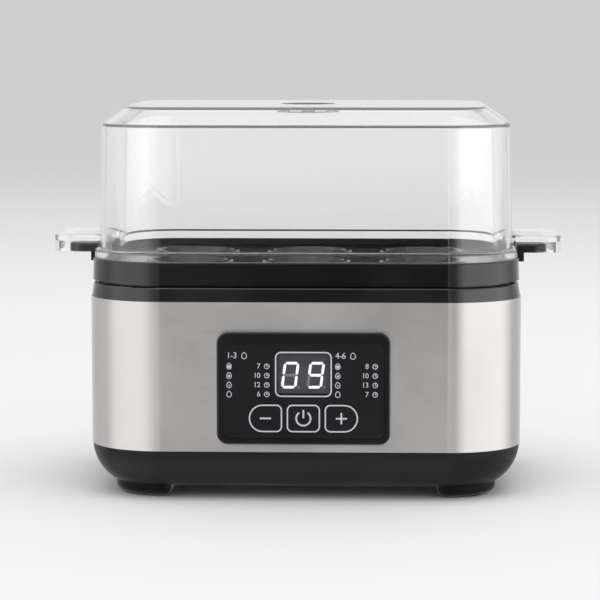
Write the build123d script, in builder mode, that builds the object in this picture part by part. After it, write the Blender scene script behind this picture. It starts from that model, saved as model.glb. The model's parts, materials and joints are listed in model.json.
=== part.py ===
"""Electric egg cooker for six eggs, with a clear lift-off lid, an egg tray and a key panel.

The body is a brushed steel sleeve between a moulded lower housing and a moulded top collar. The collar
carries a steel water pan with its heater underneath. The egg tray stands on the collar and the lid stands
on the tray. Units are millimetres, +Z is up, the front faces -Y, and the origin is the centre of the
footprint at the level of the feet. Insets are measured inwards from the sleeve's outer face.
"""

from build123d import *
from math import atan2, pi, radians, tan
import os

os.makedirs("parts", exist_ok=True)

# Body in plan
body_w = 208.0
body_d = 149.0
body_r = 36.0
sleeve_t = 0.7
cut_depth = 3.0
fit_gap = 0.3

# Heights, from the feet up
pad_proud = 0.6
foot_h = 5.4
skirt_h = 18.1
sleeve_h = 71.3
collar_h = 7.0
seam_gap = 1.2
rim_h = 10.4
lid_wall_h = 64.4
lid_chamfer_h = 8.2
floor_z = pad_proud + foot_h
sleeve_z = floor_z + skirt_h
collar_z = sleeve_z + sleeve_h
collar_top = collar_z + collar_h
tray_z = collar_top + seam_gap
rim_z = tray_z + rim_h
crease_z = rim_z + lid_wall_h
lid_top = crease_z + lid_chamfer_h

# Lower housing
housing_wall = 2.5
skirt_inset = 0.3
floor_inset = 11.5
skirt_bulge = 2.7
rim_up = 4.0
floor_join = 1.75
floor_lip = 2.0
floor_lap = 1.0
foot_w = 28.4
foot_corner = 4.2
foot_inset = 0.3
foot_round = 3.2
foot_ledge = 0.9
foot_x = body_w / 2 - floor_inset - foot_inset - foot_w / 2
foot_y = body_d / 2 - floor_inset - foot_inset - foot_w / 2
pad_r = 7.0
pad_recess = 1.0
vent_slot_l = 24.0
vent_slot_w = 2.4
vent_pitch = 6.0
vent_count = 5
vent_x = 34.0

# Screws that close the body, in posts of the housing and bosses of the collar
screw_x = 86.0
screw_y = 22.0
post_r = 5.0
post_h = 22.0
boss_r = 4.0
shank_r = 1.5
shank_gap = 0.1
head_r = 3.3
head_h = 2.4
head_gap = 0.3
head_up = 10.0
screw_l = 26.0
screw_end_gap = 0.5
post_root = 1.0

# Collar
collar_foot = 0.3
collar_lean = 1.1
collar_round = 1.2
band_t = 2.6
deck_t = 2.0
deck_drop = 2.0
locator_h = 5.0
locator_t = 2.0
opening_inset = 26.0

# Water pan, its seal and its clamps
pan_t = 0.8
pan_flange_inset = 22.0
pan_wall_inset = 27.8
pan_depth = 12.0
pan_draft = 1.4
pan_round = 3.0
pan_lap = 0.5
gasket_t = 1.0
gasket_gap = 0.6
clamp_x = 45.0
clamp_boss_r = 3.0
clamp_w = 9.0
clamp_gap = 0.6
clamp_t = 1.2

# Heater under the pan
spreader_w = 128.0
spreader_d = 78.0
spreader_r = 10.0
spreader_t = 5.0
spreader_skin = 1.0
element_r = 3.25
element_gap = 0.05
element_w = 108.0
element_d = 62.0
element_corner = 18.0
element_turn = 9.0
element_ends = 20.0
element_drop = 15.0
stat_r = 8.0
stat_body_r = 7.3
stat_body_h = 6.0
stat_hole_gap = 2.0
strap_l = 40.0
strap_w = 20.0
strap_t = 1.0
strap_hole_gap = 0.2
strap_screw_x = 16.0
blade_w = 6.3
blade_t = 0.8
blade_l = 9.0
blade_x = 4.0
fuse_r = 2.0
fuse_l = 12.0
fuse_lead_r = 0.5
fuse_lead_l = 9.0
fuse_y = -19.0
fuse_x = 20.0
clip_w = 6.0
clip_t = 0.8
clip_foot = 7.0

# Egg tray
tray_inset = 0.9
tray_lean = 0.4
tray_wall = 2.4
tray_deck_t = 2.0
tray_deck_down = 4.0
tray_skirt_gap = 0.6
tray_skirt_t = 2.0
egg_pitch_x = 57.0
egg_pitch_y = 54.0
seat_r = 18.5
seat_low_r = 12.0
seat_wall = 1.6
seat_top_wall = 1.3
seat_drop = 10.0
bead_w = 3.0
bead_top_w = 2.1
bead_h = 1.8
tray_rim_round = 0.7
tray_inner_round = 0.5
steam_hole_r = 2.5
steam_slot_l = 14.0
steam_slot_w = 3.0
steam_edge = 9.0

# Handles
grip_w = 48.0
grip_reach = 124.4
grip_h = 8.4
grip_wall = 2.0
grip_top = 3.2
grip_round = 1.2
grip_corner = 8.0
grip_up = 0.8
tray_grip_gap = 0.7
tray_grip_reach = 116.9
tray_grip_h = 4.2
tray_grip_corner = 6.0
tray_grip_round = 1.0
tray_grip_pocket = 2.2
pocket_count = 3
web_t = 3.4
web_gap = 0.7
web_down = 4.5
rib_t = 1.6

# Lid
lid_t = 2.5
lid_flange_inset = 1.95
lid_flange_h = 4.4
lid_wall_inset = 4.3
lid_draft = 1.3
lid_chamfer_w = 12.0
lid_spigot = 2.8
lid_flange_round = 1.6
lid_foot_round = 0.6
lid_crease_round = 1.0
lid_top_round = 3.0
lid_lap = 0.5
lid_vent_r = 13.5
lid_vent_drop = 3.0
lid_vent_t = 2.2
steam_vent_r = 2.1
steam_vent_pitch = 8.0

# Key panel on the front
panel_w = 82.2
panel_h = 53.5
panel_r = 5.5
panel_up = 30.5
panel_z = sleeve_z + panel_up
panel_proud = 1.6
panel_lap = 2.0
panel_round = 0.8
fascia_side = 2.85
fascia_top = 5.1
fascia_bottom = 2.9
fascia_r = 3.0
fascia_recess = 0.6
fascia_t = 1.2
fascia_gap = 0.1
panel_plate_t = 1.8
panel_wall = 1.8
panel_depth = 10.0
box_r = 1.8
hook_w = 8.0
hook_h = 1.2
hook_l = 3.0
hook_x = 20.0
display_w = 26.9
display_h = 21.5
display_r = 2.9
display_rise = 6.8
display_z = panel_z + display_rise
display_ledge = 0.9
key_w = 16.1
key_h = 13.5
key_pitch = 17.95
key_drop = 14.2
key_z = panel_z - key_drop
key_corner = 2.4
key_end_trim = 0.05
key_gap = 0.25
key_proud = 0.15
key_flange = 0.6
key_flange_t = 1.1
key_stem_r = 2.0
key_travel = 0.8
plunger_r = 1.7
plunger_gap = 0.1
plunger_in = 0.8
plunger_out = 0.7
switch_w = 6.0
switch_h = 3.5
switch_wall = 0.8

# Electronics
board_t = 1.6
board_w = 73.0
board_h = 45.0
board_hole_x = 33.0
board_hole_z = 19.0
board_boss_r = 2.6
small_shank_r = 1.0
small_head_r = 2.1
small_head_h = 1.5
module_w = 25.1
module_h = 19.0
module_t = 8.0
buzzer_r = 6.0
buzzer_h = 7.0
buzzer_hole_r = 1.2
buzzer_hole_depth = 2.4
buzzer_x = 22.0
chip_w = 10.0
chip_h = 7.6
chip_t = 2.2
chip_x = -4.0
power_board_w = 96.0
power_board_d = 58.0
power_board_y = 8.0
standoff_r = 3.2
standoff_h = 6.0
standoff_inset = 5.0
board_left = -power_board_w / 2
board_right = power_board_w / 2
board_front = power_board_y - power_board_d / 2
board_rear = power_board_y + power_board_d / 2
parts_in = 17.0
relay_size = (19.0, 15.5, 15.0)
relay_in = 18.0
relay_at = (board_left + relay_in, board_rear - parts_in)
transformer_size = (24.0, 20.0, 18.0)
transformer_gap = 10.5
relay_end = relay_at[0] + relay_size[0] / 2
transformer_at = (relay_end + transformer_gap + transformer_size[0] / 2, relay_at[1])
winding_w = 14.4
winding_h = 14.4
capacitor_r = 5.0
capacitor_h = 16.0
capacitor_gap = 6.0
transformer_end = transformer_at[0] + transformer_size[0] / 2
capacitor_at = (transformer_end + capacitor_gap + capacitor_r, transformer_at[1])
case_edge = 0.8
block_size = (22.0, 10.0, 11.0)
block_in = (16.0, 13.0)
block_at = (board_right - block_in[0], board_front + block_in[1])
terminal_count = 3
terminal_r = 2.0
terminal_depth = 3.0
socket_size = (16.0, 6.0, 7.0)
socket_in = (40.0, 7.0)
socket_at = (board_left + socket_in[0], board_front + socket_in[1])
ribbon_w = 12.0
ribbon_t = 1.0
ribbon_up = 22.0
ribbon_turn = 6.0
lead_r = 1.2
lead_droop = 9.0
lead_drop = 18.0
lead_side = 8.0
turn_share = 0.45

# Cord gland in the rear of the sleeve
gland_x = 0.0
gland_up = 14.3
gland_z = sleeve_z + gland_up
gland_bore_r = 3.4
gland_neck_w = 11.0
gland_neck_r = 2.5
gland_flange_r = 8.0
gland_flange_t = 1.6
gland_gap = 0.1
gland_inner_t = 5.7

front_y = -body_d / 2
rear_y = body_d / 2
section = Plane(origin=(0, front_y, 0), x_dir=(0, 1, 0), z_dir=(1, 0, 0))


def body_path():
    """The sleeve's outer outline as one wire, from the front centre round to the front centre."""
    x = body_w / 2 - body_r
    y = body_d / 2 - body_r
    with BuildLine() as path:
        first = Line((0, front_y), (x, front_y))
        right_front = JernArc(first @ 1, (1, 0), body_r, 90)
        right = Line(right_front @ 1, (body_w / 2, y))
        right_rear = JernArc(right @ 1, (0, 1), body_r, 90)
        rear = Line(right_rear @ 1, (-x, rear_y))
        left_rear = JernArc(rear @ 1, (-1, 0), body_r, 90)
        left = Line(left_rear @ 1, (-body_w / 2, -y))
        left_front = JernArc(left @ 1, (0, -1), body_r, 90)
        Line(left_front @ 1, (0, front_y))
    return path.wire()


body_outline = body_path()


def plan(inset, z):
    """The body's outline taken in by inset, as a sketch at height z."""
    with BuildSketch(Plane.XY.offset(z)) as outline:
        RectangleRounded(body_w - 2 * inset, body_d - 2 * inset, body_r - inset)
    return outline.sketch


def ring_section(points, rounds=()):
    """A cross-section through (inset, height) points, with (point number, radius) rounds."""
    with BuildSketch(section) as ring:
        with BuildLine():
            Polyline(*points, close=True)
        make_face()
        for number, radius in rounds:
            corner = ring.vertices().sort_by_distance((*points[number], 0))[0]
            fillet(corner, radius)
    return ring.sketch


def front_plane(y):
    """A plane facing the front at depth y, with X to the right and its own Y up."""
    return Plane(origin=(0, y, 0), x_dir=(1, 0, 0), z_dir=(0, -1, 0))


def block(width, depth, height, x, y, z):
    """A plain box standing on height z, centred on x and y."""
    with BuildPart() as made:
        with BuildSketch(Plane.XY.offset(z)):
            with Locations((x, y)):
                Rectangle(width, depth)
        extrude(amount=height)
    return made.part


def write(piece, name):
    """Labels a finished piece and writes it as its own STEP file."""
    piece.part.label = name
    export_step(piece.part, f"parts/{name}.step")


# Lower housing: a swept skirt closed by a floor, on four feet that follow its corners
floor_top = floor_z + housing_wall
foot_top = floor_z + foot_ledge
post_top = floor_top + post_h
with BuildPart() as lower_housing:
    with BuildSketch(section):
        with BuildLine():
            skirt_top = (skirt_inset, sleeve_z)
            skirt_low = (floor_inset, floor_z)
            inner_low = (floor_inset + floor_join, floor_top)
            inner_top = (skirt_inset + housing_wall, sleeve_z)
            locator = sleeve_t + fit_gap
            SagittaArc(skirt_top, skirt_low, -skirt_bulge)
            Polyline(
                skirt_low,
                (inner_low[0] + floor_lip, floor_z),
                (inner_low[0] + floor_lip, floor_top),
                inner_low,
            )
            SagittaArc(inner_low, inner_top, skirt_bulge)
            Polyline(
                inner_top,
                (inner_top[0], sleeve_z + rim_up),
                (locator, sleeve_z + rim_up),
                (locator, sleeve_z),
                skirt_top,
            )
        make_face()
    sweep(path=body_outline)
    extrude(plan(inner_low[0] + floor_lap, floor_z), amount=housing_wall)
    with BuildSketch(Plane.XY.offset(pad_proud)) as feet:
        with Locations((foot_x, foot_y)):
            Rectangle(foot_w, foot_w)
        outer_corner = (foot_x + foot_w / 2, foot_y + foot_w / 2, 0)
        fillet(feet.vertices().sort_by_distance(outer_corner)[1:], foot_corner)
        fillet(feet.vertices().sort_by_distance(outer_corner)[0], body_r - floor_inset - foot_inset)
        mirror(about=Plane.YZ)
        mirror(about=Plane.XZ)
    extrude(amount=foot_top - pad_proud)
    fillet(lower_housing.edges().group_by(Axis.Z)[0], foot_round)
    with BuildSketch(Plane.XY.offset(floor_z + post_root)):
        with GridLocations(2 * screw_x, 2 * screw_y, 2, 2):
            Circle(post_r)
    extrude(amount=post_top - floor_z - post_root)
    with BuildSketch(Plane.XY.offset(floor_top)):
        with Locations((0, power_board_y)):
            with GridLocations(
                power_board_w - 2 * standoff_inset, power_board_d - 2 * standoff_inset, 2, 2
            ):
                Circle(standoff_r)
    extrude(amount=standoff_h)
    with BuildSketch(Plane.XY.offset(floor_top + standoff_h)):
        with Locations((0, power_board_y)):
            with GridLocations(
                power_board_w - 2 * standoff_inset, power_board_d - 2 * standoff_inset, 2, 2
            ):
                Circle(small_shank_r + shank_gap)
    extrude(amount=-standoff_h, mode=Mode.SUBTRACT)
    with BuildSketch(Plane.XY.offset(pad_proud)):
        with GridLocations(2 * foot_x, 2 * foot_y, 2, 2):
            Circle(pad_r + fit_gap)
    extrude(amount=pad_recess, mode=Mode.SUBTRACT)
    with BuildSketch(Plane.XY.offset(floor_z)):
        with GridLocations(2 * screw_x, 2 * screw_y, 2, 2):
            Circle(head_r + head_gap)
    extrude(amount=head_up, mode=Mode.SUBTRACT)
    with BuildSketch(Plane.XY.offset(floor_z)):
        with GridLocations(2 * screw_x, 2 * screw_y, 2, 2):
            Circle(shank_r + shank_gap)
    extrude(amount=post_top - floor_z, mode=Mode.SUBTRACT)
    with BuildSketch(Plane.XY.offset(floor_z)):
        with Locations((-vent_x, 0), (vent_x, 0)):
            with GridLocations(0, vent_pitch, 1, vent_count):
                SlotOverall(vent_slot_l, vent_slot_w)
    extrude(amount=housing_wall, mode=Mode.SUBTRACT)
write(lower_housing, "lower_housing")

# Rubber pads under the feet
foot_names = {
    "front_left": (-foot_x, -foot_y),
    "front_right": (foot_x, -foot_y),
    "rear_left": (-foot_x, foot_y),
    "rear_right": (foot_x, foot_y),
}
for corner_name, corner_at in foot_names.items():
    with BuildPart() as foot_pad:
        with BuildSketch():
            with Locations(corner_at):
                Circle(pad_r)
        extrude(amount=pad_proud + pad_recess)
        chamfer(foot_pad.edges().group_by(Axis.Z)[0], pad_proud / 2)
    write(foot_pad, f"foot_pad_{corner_name}")

# Steel sleeve, with the panel's window in front and the cord gland's hole behind
with BuildPart() as steel_sleeve:
    sweep(
        ring_section(
            [(0, sleeve_z), (0, collar_z), (sleeve_t, collar_z), (sleeve_t, sleeve_z)]
        ),
        path=body_outline,
    )
    with BuildSketch(front_plane(front_y)):
        with Locations((0, panel_z)):
            RectangleRounded(panel_w - 2 * panel_lap, panel_h - 2 * panel_lap, panel_r - panel_lap)
    extrude(amount=-cut_depth, mode=Mode.SUBTRACT)
    with BuildSketch(Plane(origin=(gland_x, rear_y, gland_z), x_dir=(-1, 0, 0), z_dir=(0, 1, 0))):
        RectangleRounded(gland_neck_w, gland_neck_w, gland_neck_r)
    extrude(amount=-cut_depth, mode=Mode.SUBTRACT)
write(steel_sleeve, "steel_sleeve")

# Top collar: the lower black band, its deck round the pan opening, and the screw bosses
deck_z = collar_top - deck_drop
deck_low = deck_z - deck_t
band_in = collar_foot + collar_lean + band_t
flange_top = deck_low - gasket_t
flange_low = flange_top - pan_t
clamp_y = body_d / 2 - pan_flange_inset + fit_gap + clamp_boss_r
clamp_in = body_d / 2 - pan_wall_inset + pan_t + clamp_gap
clamp_out = clamp_y + clamp_boss_r + clamp_gap
boss_top = deck_z - deck_t / 2
with BuildPart() as top_collar:
    sweep(
        ring_section(
            [
                (collar_foot, collar_z),
                (collar_foot + collar_lean, collar_top),
                (band_in, collar_top),
                (band_in, deck_z),
                (opening_inset, deck_z),
                (opening_inset, deck_low),
                (locator + locator_t, deck_low),
                (locator + locator_t, collar_z - locator_h),
                (locator, collar_z - locator_h),
                (locator, collar_z),
            ],
            [(1, collar_round)],
        ),
        path=body_outline,
    )
    with BuildSketch(Plane.XY.offset(post_top)):
        with GridLocations(2 * screw_x, 2 * screw_y, 2, 2):
            Circle(boss_r)
    extrude(amount=boss_top - post_top)
    with BuildSketch(Plane.XY.offset(flange_low)):
        with GridLocations(2 * clamp_x, 2 * clamp_y, 2, 2):
            Circle(clamp_boss_r)
    extrude(amount=boss_top - flange_low)
    with BuildSketch(Plane.XY.offset(post_top)):
        with GridLocations(2 * screw_x, 2 * screw_y, 2, 2):
            Circle(shank_r + shank_gap)
    extrude(amount=screw_l, mode=Mode.SUBTRACT)
    with BuildSketch(Plane.XY.offset(flange_low)):
        with GridLocations(2 * clamp_x, 2 * clamp_y, 2, 2):
            Circle(small_shank_r + shank_gap)
    extrude(amount=boss_top - flange_low, mode=Mode.SUBTRACT)
write(top_collar, "top_collar")

# Screws from below that hold housing, sleeve and collar together
head_z = floor_z + head_up
with BuildPart() as body_screws:
    with BuildSketch(Plane.XY.offset(head_z - head_h)):
        with GridLocations(2 * screw_x, 2 * screw_y, 2, 2):
            Circle(head_r)
    extrude(amount=head_h)
    with BuildSketch(Plane.XY.offset(head_z)):
        with GridLocations(2 * screw_x, 2 * screw_y, 2, 2):
            Circle(shank_r)
    extrude(amount=screw_l)
    chamfer(body_screws.edges().group_by(Axis.Z)[-1], shank_r / 2)
write(body_screws, "body_screws")

# Silicone seal and the stainless water pan below the collar's deck
with BuildPart() as pan_gasket:
    sweep(
        ring_section(
            [
                (pan_flange_inset + gasket_gap, flange_top),
                (pan_flange_inset + gasket_gap, deck_low),
                (opening_inset, deck_low),
                (opening_inset, flange_top),
            ]
        ),
        path=body_outline,
    )
write(pan_gasket, "pan_gasket")

pan_floor = flange_top - pan_depth
pan_low = pan_floor - pan_t
pan_join = pan_wall_inset + pan_draft + pan_round
with BuildPart() as water_pan:
    sweep(
        ring_section(
            [
                (pan_flange_inset, flange_low),
                (pan_flange_inset, flange_top),
                (pan_wall_inset, flange_top),
                (pan_wall_inset + pan_draft, pan_floor),
                (pan_join, pan_floor),
                (pan_join, pan_low),
                (pan_wall_inset + pan_draft - pan_t, pan_low),
                (pan_wall_inset - pan_t, flange_low),
            ],
            [(3, pan_round - pan_t), (6, pan_round), (2, pan_t / 2)],
        ),
        path=body_outline,
    )
    extrude(plan(pan_join - pan_lap, pan_low), amount=pan_t)
write(water_pan, "water_pan")

with BuildPart() as pan_clamps:
    for side in (-1, 1):
        with BuildSketch(Plane.XY.offset(flange_low - clamp_t)):
            with GridLocations(2 * clamp_x, 0, 2, 1):
                with Locations((0, side * (clamp_in + clamp_out) / 2)):
                    RectangleRounded(clamp_w, clamp_out - clamp_in, clamp_w / 4)
        extrude(amount=clamp_t)
    with BuildSketch(Plane.XY.offset(flange_low - clamp_t)):
        with GridLocations(2 * clamp_x, 2 * clamp_y, 2, 2):
            Circle(small_shank_r + shank_gap)
    extrude(amount=clamp_t, mode=Mode.SUBTRACT)
write(pan_clamps, "pan_clamps")

with BuildPart() as clamp_screws:
    with BuildSketch(Plane.XY.offset(flange_low - clamp_t - small_head_h)):
        with GridLocations(2 * clamp_x, 2 * clamp_y, 2, 2):
            Circle(small_head_r)
    extrude(amount=small_head_h)
    with BuildSketch(Plane.XY.offset(flange_low - clamp_t)):
        with GridLocations(2 * clamp_x, 2 * clamp_y, 2, 2):
            Circle(small_shank_r)
    extrude(amount=clamp_t + boss_top - flange_low - screw_end_gap)
write(clamp_screws, "clamp_screws")

# Tubular heating element in the groove of an aluminium spreader under the pan
spreader_low = pan_low - spreader_t
element_points = [
    (-element_ends / 2, element_d / 2, spreader_low - element_drop),
    (-element_ends / 2, element_d / 2, spreader_low),
    (-element_w / 2, element_d / 2, spreader_low),
    (-element_w / 2, -element_d / 2, spreader_low),
    (element_w / 2, -element_d / 2, spreader_low),
    (element_w / 2, element_d / 2, spreader_low),
    (element_ends / 2, element_d / 2, spreader_low),
    (element_ends / 2, element_d / 2, spreader_low - element_drop),
]
element_turns = [element_turn] + [element_corner] * 4 + [element_turn]


def element_tube(radius):
    """The heating element's tube, or the groove for it, along the one shared route."""
    with BuildPart() as tube:
        with BuildLine():
            route = FilletPolyline(*element_points, radius=element_turns)
        with BuildSketch(Plane(origin=route @ 0, z_dir=route % 0)):
            Circle(radius)
        sweep()
    return tube.part


with BuildPart() as heating_element:
    add(element_tube(element_r))
write(heating_element, "heating_element")

with BuildPart() as heat_spreader:
    with BuildSketch(Plane.XY.offset(spreader_low)):
        RectangleRounded(spreader_w, spreader_d, spreader_r)
        Circle(stat_r + stat_hole_gap, mode=Mode.SUBTRACT)
    extrude(amount=spreader_t)
    add(element_tube(element_r + element_gap), mode=Mode.SUBTRACT)
    with BuildSketch(Plane.XY.offset(spreader_low)):
        with GridLocations(2 * strap_screw_x, 0, 2, 1):
            Circle(small_shank_r + shank_gap)
        with Locations((fuse_x, fuse_y + clip_foot)):
            Circle(small_shank_r + shank_gap)
    extrude(amount=spreader_t - spreader_skin, mode=Mode.SUBTRACT)
write(heat_spreader, "heat_spreader")

# Thermostat against the pan, held by a strap screwed to the spreader
with BuildPart() as thermostat:
    with BuildSketch(Plane.XY.offset(spreader_low)):
        Circle(stat_r)
    extrude(amount=spreader_t)
    with BuildSketch(Plane.XY.offset(spreader_low)):
        Circle(stat_body_r)
    extrude(amount=-stat_body_h)
    with BuildSketch(Plane.XY.offset(spreader_low - stat_body_h)):
        with GridLocations(2 * blade_x, 0, 2, 1):
            Rectangle(blade_t, blade_w)
    extrude(amount=-blade_l)
write(thermostat, "thermostat")

with BuildPart() as thermostat_strap:
    with BuildSketch(Plane.XY.offset(spreader_low)):
        SlotOverall(strap_l, strap_w)
        Circle(stat_body_r + strap_hole_gap, mode=Mode.SUBTRACT)
        with GridLocations(2 * strap_screw_x, 0, 2, 1):
            Circle(small_shank_r + shank_gap, mode=Mode.SUBTRACT)
    extrude(amount=-strap_t)
write(thermostat_strap, "thermostat_strap")

# Thermal fuse under a saddle clip
fuse_z = spreader_low - fuse_r
with BuildPart() as thermal_fuse:
    with BuildSketch(Plane(origin=(fuse_x - fuse_l / 2, fuse_y, fuse_z), z_dir=(1, 0, 0))):
        Circle(fuse_r)
    extrude(amount=fuse_l)
    chamfer(thermal_fuse.edges().filter_by(GeomType.CIRCLE), fuse_r / 4)
    with BuildSketch(
        Plane(origin=(fuse_x - fuse_l / 2 - fuse_lead_l, fuse_y, fuse_z), z_dir=(1, 0, 0))
    ):
        Circle(fuse_lead_r)
    extrude(amount=fuse_l + 2 * fuse_lead_l)
write(thermal_fuse, "thermal_fuse")

with BuildPart() as fuse_clip:
    with BuildSketch(Plane(origin=(fuse_x - clip_w / 2, fuse_y, 0), x_dir=(0, 1, 0), z_dir=(1, 0, 0))):
        with Locations((0, fuse_z)):
            Circle(fuse_r + clip_t + element_gap)
        with Locations((0, spreader_low + fuse_r)):
            Rectangle(4 * fuse_r, 2 * fuse_r, mode=Mode.SUBTRACT)
        with Locations((clip_foot / 2 + fuse_r, spreader_low - clip_t / 2)):
            Rectangle(clip_foot, clip_t)
        with Locations((0, fuse_z)):
            Circle(fuse_r + element_gap, mode=Mode.SUBTRACT)
        with Locations((0, spreader_low - fuse_r / 2)):
            Rectangle(2 * (fuse_r + element_gap), fuse_r, mode=Mode.SUBTRACT)
    extrude(amount=clip_w)
    with BuildSketch(Plane.XY.offset(spreader_low)):
        with Locations((fuse_x, fuse_y + clip_foot)):
            Circle(small_shank_r + shank_gap)
    extrude(amount=-2 * clip_t, mode=Mode.SUBTRACT)
write(fuse_clip, "fuse_clip")

with BuildPart() as heater_screws:
    with BuildSketch(Plane.XY.offset(spreader_low - strap_t)):
        with GridLocations(2 * strap_screw_x, 0, 2, 1):
            Circle(small_head_r)
    extrude(amount=-small_head_h)
    with BuildSketch(Plane.XY.offset(spreader_low - clip_t)):
        with Locations((fuse_x, fuse_y + clip_foot)):
            Circle(small_head_r)
    extrude(amount=-small_head_h)
    screw_bite = spreader_t - spreader_skin - screw_end_gap
    with BuildSketch(Plane.XY.offset(spreader_low + screw_bite)):
        with GridLocations(2 * strap_screw_x, 0, 2, 1):
            Circle(small_shank_r)
    extrude(amount=-(screw_bite + strap_t))
    with BuildSketch(Plane.XY.offset(spreader_low + screw_bite)):
        with Locations((fuse_x, fuse_y + clip_foot)):
            Circle(small_shank_r)
    extrude(amount=-(screw_bite + clip_t))
write(heater_screws, "heater_screws")

# Egg tray: the upper black band, a deck with six conical seats, a skirt, and a grip at each end
tray_deck_z = rim_z - tray_deck_down
tray_deck_low = tray_deck_z - tray_deck_t
tray_in = tray_inset + tray_lean + tray_wall
skirt_out = band_in + tray_skirt_gap
grip_z = rim_z + grip_up
tray_grip_y = grip_w / 2 - grip_wall - tray_grip_gap
web_x = body_w / 2 - lid_flange_inset + web_gap


def egg_seat():
    """One conical seat with a raised bead, round the origin at the deck's own height."""
    bead_top = tray_deck_z + bead_h
    seat_low = bead_top - seat_drop
    with BuildPart() as seat:
        with BuildSketch(Plane.XZ):
            with BuildLine():
                Polyline(
                    (seat_low_r, seat_low),
                    (seat_low_r + seat_wall, seat_low),
                    (seat_r + seat_top_wall, tray_deck_low),
                    (seat_r + bead_w, tray_deck_low),
                    (seat_r + bead_w, bead_top - bead_h / 2),
                    (seat_r + bead_top_w, bead_top),
                    (seat_r, bead_top),
                    close=True,
                )
            make_face()
        revolve(axis=Axis.Z)
    return seat.part


def tray_grip():
    """The right-hand grip: a web up from the tray's side and a hollow plate that reaches outwards."""
    wall_x = body_w / 2 - tray_in + tray_wall / 2
    with BuildPart() as grip:
        with BuildSketch(Plane.XY.offset(grip_z)):
            with Locations(((web_x + tray_grip_reach) / 2, 0)):
                Rectangle(tray_grip_reach - web_x, 2 * tray_grip_y)
        extrude(amount=tray_grip_h)
        fillet(grip.edges().filter_by(Axis.Z).group_by(Axis.X)[-1], tray_grip_corner)
        fillet(grip.faces().sort_by(Axis.Z)[-1].edges().sort_by(Axis.X)[1:], tray_grip_round)
        with BuildSketch(Plane.XY.offset(rim_z - web_down + grip_up)):
            with Locations(((wall_x + web_x + web_t) / 2, 0)):
                Rectangle(web_x + web_t - wall_x, 2 * tray_grip_y)
        extrude(amount=web_down - grip_up)
        with BuildSketch(Plane.XY.offset(rim_z)):
            with Locations((web_x + web_t / 2, 0)):
                Rectangle(web_t, 2 * tray_grip_y)
        extrude(amount=grip_up)
        pocket_x = web_x + web_t + grip_wall
        pocket_w = tray_grip_reach - grip_wall - pocket_x
        pocket_pitch = (2 * tray_grip_y - grip_wall) / pocket_count
        with BuildSketch(Plane.XY.offset(grip_z)):
            with Locations((pocket_x + pocket_w / 2, 0)):
                with GridLocations(0, pocket_pitch, 1, pocket_count):
                    Rectangle(pocket_w, pocket_pitch - rib_t)
        extrude(amount=tray_grip_pocket, mode=Mode.SUBTRACT)
    return grip.part


with BuildPart() as egg_tray:
    sweep(
        ring_section(
            [
                (tray_inset, tray_z),
                (tray_inset + tray_lean, rim_z),
                (tray_in, rim_z),
                (tray_in, tray_deck_z),
                (skirt_out + 2 * tray_skirt_t, tray_deck_z),
                (skirt_out + 2 * tray_skirt_t, tray_deck_low),
                (skirt_out + tray_skirt_t, tray_deck_low),
                (skirt_out + tray_skirt_t, deck_z),
                (skirt_out, deck_z),
                (skirt_out, tray_deck_low),
                (tray_inset + tray_wall, tray_deck_low),
                (tray_inset + tray_wall, tray_z),
            ],
            [(1, tray_rim_round), (2, tray_inner_round)],
        ),
        path=body_outline,
    )
    extrude(plan(skirt_out + 1.5 * tray_skirt_t, tray_deck_low), amount=tray_deck_t)
    with BuildSketch(Plane.XY.offset(tray_deck_low)):
        with GridLocations(egg_pitch_x, egg_pitch_y, 3, 2):
            Circle(seat_r + bead_w / 2)
        with GridLocations(egg_pitch_x, 0, 2, 1):
            Circle(steam_hole_r)
        with GridLocations(egg_pitch_x, body_d - 2 * (skirt_out + steam_edge), 2, 2):
            SlotOverall(steam_slot_l, steam_slot_w)
    extrude(amount=tray_deck_t, mode=Mode.SUBTRACT)
    with GridLocations(egg_pitch_x, egg_pitch_y, 3, 2):
        add(egg_seat())
    add(tray_grip())
    mirror(tray_grip(), about=Plane.YZ)
write(egg_tray, "egg_tray")


# Lid: a clear drafted dome with a chamfered top, a flange on the tray's rim and a hollow grip at each end
def lid_grip():
    """The right-hand grip: a plate with a skirt that hangs round the tray's grip."""
    root_x = body_w / 2 - lid_wall_inset - lid_t / 2
    hollow_x = body_w / 2 - lid_flange_inset
    hollow_w = grip_reach - grip_wall - hollow_x
    with BuildPart() as grip:
        with BuildSketch(Plane.XY.offset(grip_z)):
            with Locations(((root_x + grip_reach) / 2, 0)):
                Rectangle(grip_reach - root_x, grip_w)
        extrude(amount=grip_h)
        fillet(grip.edges().filter_by(Axis.Z).group_by(Axis.X)[-1], grip_corner)
        fillet(grip.faces().sort_by(Axis.Z)[-1].edges().sort_by(Axis.X)[1:], grip_round)
        with BuildSketch(Plane.XY.offset(grip_z)):
            with Locations((hollow_x + hollow_w / 2, 0)):
                Rectangle(hollow_w, grip_w - 2 * grip_wall)
        extrude(amount=grip_h - grip_top, mode=Mode.SUBTRACT)
    return grip.part


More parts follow.
